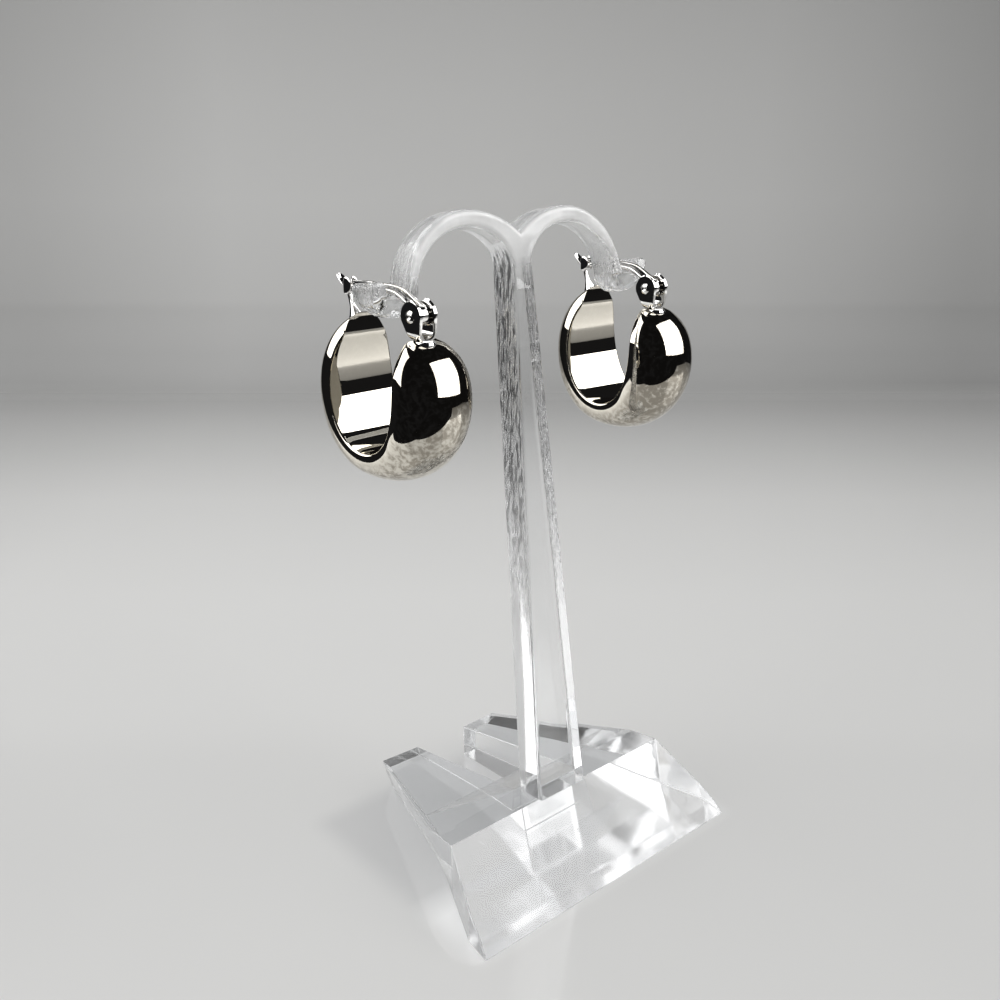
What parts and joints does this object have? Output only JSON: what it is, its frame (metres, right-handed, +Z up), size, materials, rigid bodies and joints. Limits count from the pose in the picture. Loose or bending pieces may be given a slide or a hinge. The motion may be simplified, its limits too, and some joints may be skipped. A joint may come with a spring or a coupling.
{
  "type": "pair of dome hoop earrings on earring stand",
  "caption": "Polished dome hoop earrings with hinged ear wires that latch at the back, hung on a clear leaning stand with arched arms.",
  "frame": {"origin": "on the underside of the base, below the foot of the stem", "axes": "+X to the right arm, +Y to the back where the legs are, +Z up"},
  "size_m": [0.0501, 0.0387, 0.087],
  "materials": {
    "acrylic": "clear polished acrylic",
    "silver": "mirror polished",
    "silver_wire": "polished"
  },
  "bodies": {
    "stand_and_hoops": {"stand_base": "acrylic", "stand_stem": "acrylic", "left_hoop": "silver", "left_hinge_rivet": "silver", "right_hoop": "silver", "right_hinge_rivet": "silver"},
    "left_ear_wire": {"left_ear_wire": "silver_wire"},
    "right_ear_wire": {"right_ear_wire": "silver_wire"}
  },
  "joints": [
    {"name": "left_wire_hinge", "type": "hinge", "parent": "stand_and_hoops", "child": "left_ear_wire", "pos_m": [-0.0195, 0.00365, 0.07605], "axis": [0.9989, 0.0471, 0], "range_deg": [0, 70]},
    {"name": "right_wire_hinge", "type": "hinge", "parent": "stand_and_hoops", "child": "right_ear_wire", "pos_m": [0.0195, 0.00365, 0.07605], "axis": [0.9995, -0.0314, 0], "range_deg": [0, 70]}
  ]
}
